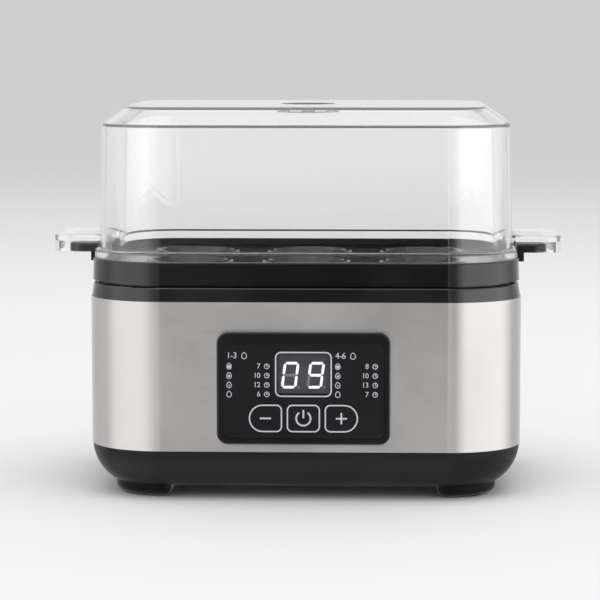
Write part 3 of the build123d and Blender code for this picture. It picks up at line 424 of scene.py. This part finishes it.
SLOTS = {
    "housing_plastic": moulded(
        "housing_plastic",
        (0.0065, 0.0065, 0.0075),
        0.44,
        1500,
        0.012 * MM,
        specular=0.25,
        # painted shade: less gloss on the housing near the floor
        painted_floor_shade=(5.0 * MM, 26.0 * MM, 0.28),
    ),
    "foot_rubber": moulded(
        "foot_rubber", (0.015, 0.015, 0.015), 0.8, 1800, 0.01 * MM, specular=0.15
    ),
    "sleeve_steel": metal(
        "sleeve_steel",
        (0.605, 0.58, 0.577),
        0.33,
        (1, 1, 60),
        260,
        0.002 * MM,
        turn=0.25,
        aniso=0.88,
    ),
    "trim_plastic": moulded(
        "trim_plastic", (0.003, 0.003, 0.004), 0.16, 1500, 0.003 * MM, 0.03, specular=0.7
    ),
    "tray_plastic": moulded(
        "tray_plastic",
        (0.003, 0.003, 0.004),
        0.16,
        1500,
        0.003 * MM,
        0.03,
        specular=0.6,
        flat_top=(0.45, 0.006, 62.0 * MM, 82.0 * MM),
    ),
    "lid_clear": clear("lid_clear", (0.985, 0.987, 0.99), 0.0, ior=1.58),
    "gasket_silicone": moulded("gasket_silicone", (0.5, 0.5, 0.48), 0.55),
    "pan_steel": metal("pan_steel", (0.62, 0.61, 0.6), 0.22, (1, 30, 1), 160),
    "screw_steel": metal("screw_steel", (0.6, 0.6, 0.62), 0.25),
    "bracket_steel": metal("bracket_steel", (0.55, 0.55, 0.56), 0.3, (1, 20, 1), 200),
    "element_steel": metal("element_steel", (0.3, 0.29, 0.28), 0.45),
    "spreader_aluminium": metal("spreader_aluminium", (0.7, 0.7, 0.71), 0.5, depth=0.02 * MM),
    "thermostat_body": moulded("thermostat_body", (0.05, 0.035, 0.03), 0.35),
    "fuse_metal": metal("fuse_metal", (0.7, 0.69, 0.66), 0.25),
    "lead_insulation": moulded("lead_insulation", (0.6, 0.58, 0.52), 0.5),
    "panel_gloss": moulded(
        "panel_gloss", (0.010, 0.010, 0.012), 0.16, 1500, 0.002 * MM, 0.03, specular=0.42
    ),
    "fascia_print": moulded(
        "fascia_print", (0.010, 0.010, 0.0115), 0.24, 1500, 0.002 * MM, 0.03, specular=0.35
    ),
    "display_lens": clear("display_lens", (0.8, 0.8, 0.83), 0.02),
    "key_plastic": moulded(
        "key_plastic", (0.010, 0.010, 0.0115), 0.24, 1500, 0.002 * MM, 0.03, specular=0.35
    ),
    "switch_plastic": moulded("switch_plastic", (0.04, 0.04, 0.04), 0.5),
    "module_plastic": moulded("module_plastic", (0.175, 0.172, 0.186), 0.5),
    "board_laminate": moulded("board_laminate", (0.02, 0.12, 0.05), 0.35),
    "relay_plastic": moulded("relay_plastic", (0.02, 0.07, 0.25), 0.3),
    "transformer_core": moulded("transformer_core", (0.5, 0.4, 0.08), 0.4),
    "capacitor_can": moulded("capacitor_can", (0.05, 0.05, 0.07), 0.3),
    "terminal_plastic": moulded("terminal_plastic", (0.6, 0.58, 0.52), 0.4),
    "ribbon_insulation": moulded("ribbon_insulation", (0.35, 0.35, 0.36), 0.45),
    "gland_rubber": moulded("gland_rubber", (0.016, 0.016, 0.016), 0.6),
}
INK = moulded("ink", (0.60, 0.58, 0.64), 0.45)
LIT_SEGMENT = glowing("lit_segment", (0.96, 0.94, 1.0), 1.15)
DIM_SEGMENT = glowing("dim_segment", (0.62, 0.60, 0.60), 0.0)


def dress_frame():
    """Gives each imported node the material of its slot."""
    for entry in frame["record"]["subparts"]:
        obj = frame["nodes"][entry["node"]]
        for slot in obj.material_slots:
            slot.material = SLOTS[entry["material_slot"]]


def rounded_outline(width, height, radii):
    """Points of a rectangle with a radius for each corner, from the lower left, anticlockwise."""
    x, y = width / 2, height / 2
    corners = ((-x, -y, 180), (x, -y, 270), (x, y, 0), (-x, y, 90))
    points = []
    for (cx, cy, start), radius in zip(corners, radii):
        inner_x = cx - radius * (1 if cx > 0 else -1)
        inner_y = cy - radius * (1 if cy > 0 else -1)
        for i in range(CORNER_STEPS + 1):
            angle = radians(start + 90 * i / CORNER_STEPS)
            points.append((inner_x + radius * cos(angle), inner_y + radius * sin(angle)))
    return points


class Print:
    """Flat marks on a face that looks forward, gathered in one mesh."""

    def __init__(self, face_y):
        self.mesh = bmesh.new()
        self.face_y = face_y

    def place(self, x, z, depth):
        """A new vertex at x and z, depth in front of the face."""
        return self.mesh.verts.new((x, self.face_y - depth, z))

    def patch(self, points):
        """A filled outline with a rim as thick as the print."""
        front = [self.place(x, z, PRINT_THICK) for x, z in points]
        back = [self.place(x, z, -PRINT_THICK) for x, z in points]
        self.mesh.faces.new(front)
        for i in range(len(points)):
            j = (i + 1) % len(points)
            self.mesh.faces.new((front[j], front[i], back[i], back[j]))

    def band(self, outer, inner, closed=True):
        """A band between two outlines with the same number of points."""
        count = len(outer)
        for i in range(count if closed else count - 1):
            j = (i + 1) % count
            self.patch([outer[i], outer[j], inner[j], inner[i]])

    def frame_line(self, centre, width, height, radii, line):
        """A line of even width just inside a rounded outline."""
        inner_radii = [radius - line for radius in radii]
        outer = rounded_outline(width, height, radii)
        inner = rounded_outline(width - 2 * line, height - 2 * line, inner_radii)
        move = lambda points: [(centre[0] + x, centre[1] + z) for x, z in points]
        self.band(move(outer), move(inner))

    def bar(self, centre, width, height):
        """A bar with square ends."""
        x, z = centre
        corners = ((-1, -1), (1, -1), (1, 1), (-1, 1))
        self.patch([(x + i * width / 2, z + j * height / 2) for i, j in corners])

    def arc(self, centre, radius, line, start=0.0, end=2 * pi, steps=ARC_STEPS):
        """A ring, or part of one, with its line centred on radius."""
        outer, inner = [], []
        for i in range(steps + 1):
            angle = start + (end - start) * i / steps
            for points, r in ((outer, radius + line / 2), (inner, radius - line / 2)):
                points.append((centre[0] + r * cos(angle), centre[1] + r * sin(angle)))
        self.band(outer, inner, closed=False)

    def disc(self, centre, radius):
        """A filled disc."""
        angles = [2 * pi * i / DISC_STEPS for i in range(DISC_STEPS)]
        x, z = centre
        self.patch([(x + radius * cos(angle), z + radius * sin(angle)) for angle in angles])

    def egg(self, centre, width, height, yolk):
        """An egg's outline with a yolk whose size says how soft it is."""
        outer, inner = [], []
        for i in range(EGG_STEPS):
            angle = 2 * pi * i / EGG_STEPS
            taper = 1 - EGG_TAPER * sin(angle)
            for points, shrink in ((outer, 0.0), (inner, MARK_LINE)):
                x = (width / 2 - shrink) * cos(angle) * taper
                z = (height / 2 - shrink) * sin(angle)
                points.append((centre[0] + x, centre[1] + z))
        self.band(outer, inner)
        if yolk:
            self.disc((centre[0], centre[1] - height * YOLK_DROP), width / 2 * yolk)

    def clock(self, centre):
        """A dial with two hands."""
        self.arc(centre, CLOCK_RADIUS - MARK_LINE / 2, MARK_LINE, steps=CLOCK_STEPS)
        reach = CLOCK_RADIUS * CLOCK_HAND
        self.bar((centre[0], centre[1] + reach / 2), MARK_LINE, reach)
        self.bar((centre[0] + reach / 2, centre[1]), reach, MARK_LINE)

    def text(self, words, x, z, size, align="LEFT"):
        """Plain digits, with their middle at height z."""
        curve = bpy.data.curves.new("digits", "FONT")
        curve.body = words
        curve.size = size
        curve.align_x = align
        curve.align_y = "CENTER"
        curve.resolution_u = LETTER_STEPS
        curve.space_character = LETTER_SPACE
        writer = bpy.data.objects.new("digits", curve)
        flat = bpy.data.meshes.new_from_object(writer)
        for polygon in flat.polygons:
            corners = [flat.vertices[i].co for i in polygon.vertices]
            self.patch([(x + corner.x, z + corner.y) for corner in corners])
        bpy.data.objects.remove(writer)
        bpy.data.meshes.remove(flat)
        bpy.data.curves.remove(curve)

    def finish(self, name, material, body, slot):
        """Makes the object and lets it ride on a body."""
        mesh = bpy.data.meshes.new(name)
        bmesh.ops.recalc_face_normals(self.mesh, faces=self.mesh.faces)
        self.mesh.to_mesh(mesh)
        self.mesh.free()
        obj = new_object(name, mesh, material)
        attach(obj, body)
        return obj


def centre_of(node):
    """The middle of a node's box in x and z."""
    low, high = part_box(node)
    return (low[0] + high[0]) / 2, (low[2] + high[2]) / 2


def print_keys():
    """The outline and sign on each key."""
    for key in ("minus", "power", "plus"):
        low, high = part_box(f"{key}_key")
        x, z = centre_of(f"{key}_key")
        width = high[0] - low[0] - 2 * KEY_FLANGE
        height = high[2] - low[2] - 2 * KEY_FLANGE
        marks = Print(low[1])
        radii = [KEY_INNER_RADIUS] * 4
        if key == "minus":
            radii[0] = radii[3] = KEY_OUTER_RADIUS
        if key == "plus":
            radii[1] = radii[2] = KEY_OUTER_RADIUS
        marks.frame_line(
            (x, z),
            width - 2 * KEY_MARGIN,
            height - 2 * KEY_MARGIN,
            [radius - KEY_MARGIN for radius in radii],
            LINE_WIDTH,
        )
        if key == "power":
            begin, end = pi / 2 + POWER_GAP, 2 * pi + pi / 2 - POWER_GAP
            marks.arc((x, z), POWER_RADIUS, ICON_WIDTH, begin, end)
            length = POWER_RADIUS * POWER_BAR_LENGTH
            marks.bar((x, z + POWER_RADIUS * POWER_BAR_RISE), ICON_WIDTH, length)
        else:
            marks.bar((x, z), ICON_BAR, ICON_WIDTH)
        if key == "plus":
            half = (ICON_BAR - ICON_WIDTH) / 4 + ICON_WIDTH / 2
            for side in (-1, 1):
                marks.bar((x, z + side * half), ICON_WIDTH, (ICON_BAR - ICON_WIDTH) / 2)
        marks.finish(f"{key}_key_print", INK, f"{key}_button", "key_plastic")


def print_fascia():
    """The window's outline and the time tables on the fascia."""
    window_low, window_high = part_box("display_window")
    fascia_low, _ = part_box("fascia")
    outline = Print(window_low[1])
    outline.frame_line(
        centre_of("display_window"),
        window_high[0] - window_low[0],
        window_high[2] - window_low[2],
        [WINDOW_RADIUS] * 4,
        LINE_WIDTH,
    )
    outline.finish("window_outline_print", INK, "base", "display_lens")
    table = Print(fascia_low[1])
    for side, (left, right) in TABLE_COLUMNS.items():
        table.text(TABLE_HEADS[side], left, TABLE_TOP_Z, HEAD_SIZE)
        table.egg(
            (left + HEAD_SIZE * HEAD_EGG_ASIDE, TABLE_TOP_Z),
            EGG_WIDTH * HEAD_EGG_SCALE,
            EGG_HEIGHT * HEAD_EGG_SCALE,
            0,
        )
        for row, (time, yolk) in enumerate(zip(TABLE_TIMES[side], TABLE_YOLKS)):
            z = TABLE_FIRST_ROW_Z - row * TABLE_ROW_PITCH
            table.egg((left + EGG_WIDTH / 2, z), EGG_WIDTH, EGG_HEIGHT, yolk)
            table.text(time, right - TIME_ASIDE * CLOCK_RADIUS, z, TEXT_SIZE, "RIGHT")
            table.clock((right - CLOCK_RADIUS, z))
    table.finish("time_table_print", INK, "base", "fascia_print")


def segment_shapes():
    """The seven segments and the point of one digit, in the digit's own upright frame."""
    w, h = DIGIT_WIDTH / 2 - SEGMENT_WIDTH / 2, DIGIT_HEIGHT / 2 - SEGMENT_WIDTH / 2
    ends = {
        "a": ((-w, h), (w, h)),
        "b": ((w, h), (w, 0)),
        "c": ((w, 0), (w, -h)),
        "d": ((-w, -h), (w, -h)),
        "e": ((-w, 0), (-w, -h)),
        "f": ((-w, h), (-w, 0)),
        "g": ((-w, 0), (w, 0)),
    }
    shapes = {}
    for name, (start, end) in ends.items():
        start, end = Vector(start), Vector(end)
        along = (end - start).normalized()
        across = Vector((-along.y, along.x)) * SEGMENT_WIDTH / 2
        first = start + along * SEGMENT_GAP
        last = end - along * SEGMENT_GAP
        cut = along * SEGMENT_WIDTH / 2
        shapes[name] = [
            first,
            first + cut - across,
            last - cut - across,
            last,
            last - cut + across,
            first + cut + across,
        ]
    return shapes


def make_digits():
    """The two digits on the face of the display module."""
    low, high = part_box("display_module")
    middle = (low[0] + high[0]) / 2 + DIGIT_SHIFT
    lit, dim = Print(low[1]), Print(low[1])
    shapes = segment_shapes()
    lean = lambda p: p.x + p.y * sin(DIGIT_SLANT)
    point_z = DIGIT_CENTRE_Z - DIGIT_HEIGHT / 2 + POINT_RADIUS
    for digit, x in zip("09", (middle - DIGIT_PITCH / 2, middle + DIGIT_PITCH / 2)):
        for name, points in shapes.items():
            target = lit if name in LIT[digit] else dim
            target.patch([(x + lean(p), DIGIT_CENTRE_Z + p.y) for p in points])
        dim.disc((x + DIGIT_WIDTH * POINT_ASIDE, point_z), POINT_RADIUS)
    lit.finish("lit_segments", LIT_SEGMENT, "base", "module_plastic")
    dim.finish("dim_segments", DIM_SEGMENT, "base", "module_plastic")


def grey(nodes, level):
    """The same level in red, green and blue."""
    colour = nodes.add("ShaderNodeCombineColor")
    for socket in colour.inputs:
        nodes.link(level, socket)
    return colour.outputs[0]


def backdrop_level(nodes, path):
    """The backdrop's level: higher where the eye looks through a clear part."""
    through = nodes.math("GREATER_THAN", path.outputs["Transmission Depth"], ANY_DEPTH)
    return nodes.math("ADD", nodes.math("MULTIPLY", through, THROUGH - BACKDROP), BACKDROP)


def glossy_level(nodes, x, y, z):
    """What gloss sees: softboxes at both sides, a strip, a dark front and a pale back."""
    turn = nodes.math("ARCTAN2", x, nodes.math("MULTIPLY", y, -1.0))
    right = nodes.math("MULTIPLY", turn, degrees(1))
    left = nodes.math("MULTIPLY", right, -1.0)
    wide = nodes.math("ABSOLUTE", right)
    overhead = nodes.ramp(z, *HIGH_FALL, 1.0, HIGH_LEAST)
    above = nodes.math("MULTIPLY", nodes.ramp(z, *HIGH_RISE), overhead)
    high = nodes.math("MULTIPLY", above, FRONT_HIGH)
    low = nodes.math("MULTIPLY", nodes.ramp(z, *LOW_RISE), FRONT_LOW)
    more_left = nodes.ramp(left, *FRONT_LEFT_RISE, 1.0, FRONT_LEFT)
    spread = nodes.math("MULTIPLY", nodes.math("ADD", high, low), more_left)
    front = nodes.math("ADD", spread, FRONT_DARK)
    behind = nodes.ramp(wide, *BEHIND_RISE)
    rear = nodes.math("MULTIPLY", nodes.ramp(wide, *BACK_RISE, SIDE_BACK, BACK), behind)
    ahead = nodes.math("MULTIPLY", front, nodes.math("SUBTRACT", 1.0, behind))
    level = nodes.math("ADD", ahead, rear)
    belt = nodes.ramp(nodes.math("ABSOLUTE", z), *BELT_FALL, 1.0, 0.0)
    for angle, rise, fall, strength in (
        (left, LEFT_BOX_RISE, LEFT_BOX_FALL, LEFT_BOX),
        (right, RIGHT_BOX_RISE, RIGHT_BOX_FALL, RIGHT_BOX),
    ):
        box = nodes.math("MULTIPLY", nodes.ramp(angle, *rise), nodes.ramp(angle, *fall, 1.0, 0.0))
        lit = nodes.math("MULTIPLY", nodes.math("MULTIPLY", box, belt), strength)
        level = nodes.math("ADD", level, lit)
    fading = nodes.ramp(right, *STRIP_FALL, 1.0, 0.0)
    strip = nodes.math("MULTIPLY", nodes.ramp(right, *STRIP_RISE), fading)
    return nodes.math("ADD", level, nodes.math("MULTIPLY", strip, STRIP))


def make_world():
    """Pale surroundings, seen in gloss as softboxes at the sides and a dark front."""
    world = bpy.data.worlds.new("studio")
    bpy.context.scene.world = world
    world.use_nodes = True
    world.cycles.sampling_method = "NONE"
    nodes = Nodes(world.node_tree)
    x, y, z = nodes.axes("Generated")
    path = nodes.add("ShaderNodeLightPath")
    seen = nodes.add("ShaderNodeBackground")
    ceiling = nodes.ramp(z, *CEILING_RISE, 1.0, CEILING)
    dimmed = nodes.math("MULTIPLY", backdrop_level(nodes, path), ceiling)
    nodes.link(grey(nodes, dimmed), seen.inputs["Color"])
    matt = nodes.add("ShaderNodeBackground", in_Strength=AMBIENT)
    matt.inputs["Color"].default_value = (1, 1, 1, 1)
    gloss = nodes.add("ShaderNodeBackground")
    nodes.link(grey(nodes, glossy_level(nodes, x, y, z)), gloss.inputs["Color"])
    mirrored = nodes.math("GREATER_THAN", path.outputs["Glossy Depth"], ANY_DEPTH)
    scattered = nodes.math("GREATER_THAN", path.outputs["Diffuse Depth"], ANY_DEPTH)
    direct = nodes.blend(mirrored, seen.outputs[0], gloss.outputs[0])
    whole = nodes.blend(scattered, direct, matt.outputs[0])
    nodes.finish("ShaderNodeOutputWorld", whole)


def make_floor():
    """A wide pale floor that runs into the backdrop, and that gloss doesn't see."""
    mesh = bpy.data.meshes.new("floor")
    shape = bmesh.new()
    bmesh.ops.create_circle(shape, cap_ends=True, segments=FLOOR_SEGMENTS, radius=FLOOR_RADIUS)
    shape.to_mesh(mesh)
    shape.free()
    material, nodes, shader = surface("floor")
    tint(nodes, shader, object_noise(nodes, FLOOR_PATCHES), FLOOR_DARK, FLOOR_PALE)
    shader.inputs["Roughness"].default_value = FLOOR_ROUGH
    shader.inputs["Specular IOR Level"].default_value = FLOOR_SPECULAR
    place = nodes.add("ShaderNodeTexCoord")
    away = nodes.add("ShaderNodeVectorMath", operation="LENGTH")
    nodes.link(place.outputs["Object"], away.inputs[0])
    far = nodes.add("ShaderNodeEmission")
    path = nodes.add("ShaderNodeLightPath")
    nodes.link(backdrop_level(nodes, path), far.inputs["Strength"])
    hidden = nodes.add("ShaderNodeBsdfTransparent")
    fade = nodes.ramp(away.outputs["Value"], *FLOOR_FADE)
    seen = nodes.blend(fade, shader.outputs[0], far.outputs[0])
    mirrored = nodes.math("GREATER_THAN", path.outputs["Glossy Depth"], ANY_DEPTH)
    nodes.finish("ShaderNodeOutputMaterial", nodes.blend(mirrored, seen, hidden.outputs[0]))
    new_object("floor", mesh, material)


def make_light():
    """One wide soft light overhead, for a soft shadow on the floor."""
    lamp = bpy.data.lights.new("overhead", "AREA")
    lamp.shape = "RECTANGLE"
    lamp.size = LAMP_WIDTH
    lamp.size_y = LAMP_DEPTH
    lamp.energy = LAMP_POWER
    light = bpy.data.objects.new("overhead", lamp)
    light.location = LAMP_PLACE
    light.rotation_euler = LAMP_PLACE.to_track_quat("Z", "Y").to_euler()
    light.visible_glossy = False
    bpy.context.scene.collection.objects.link(light)


def make_camera():
    """A long lens a little above the object and to the right of its front."""
    lens = bpy.data.cameras.new("camera")
    lens.lens = CAMERA_FOCAL
    camera = bpy.data.objects.new("camera", lens)
    right = Vector((cos(CAMERA_YAW), sin(CAMERA_YAW), 0))
    away = Vector((sin(CAMERA_YAW), -cos(CAMERA_YAW), 0))
    level = away * CAMERA_DISTANCE - right * CAMERA_SIDESTEP
    camera.location = level + Vector((0, 0, CAMERA_HEIGHT))
    camera.rotation_euler = (pi / 2 - CAMERA_PITCH, 0, CAMERA_YAW)
    bpy.context.scene.collection.objects.link(camera)
    bpy.context.scene.camera = camera


def main():
    """Builds the whole scene."""
    bpy.context.scene.view_settings.view_transform = "Standard"
    make_camera()
    dress_frame()
    print_keys()
    print_fascia()
    make_digits()
    make_world()
    make_floor()
    make_light()


main()
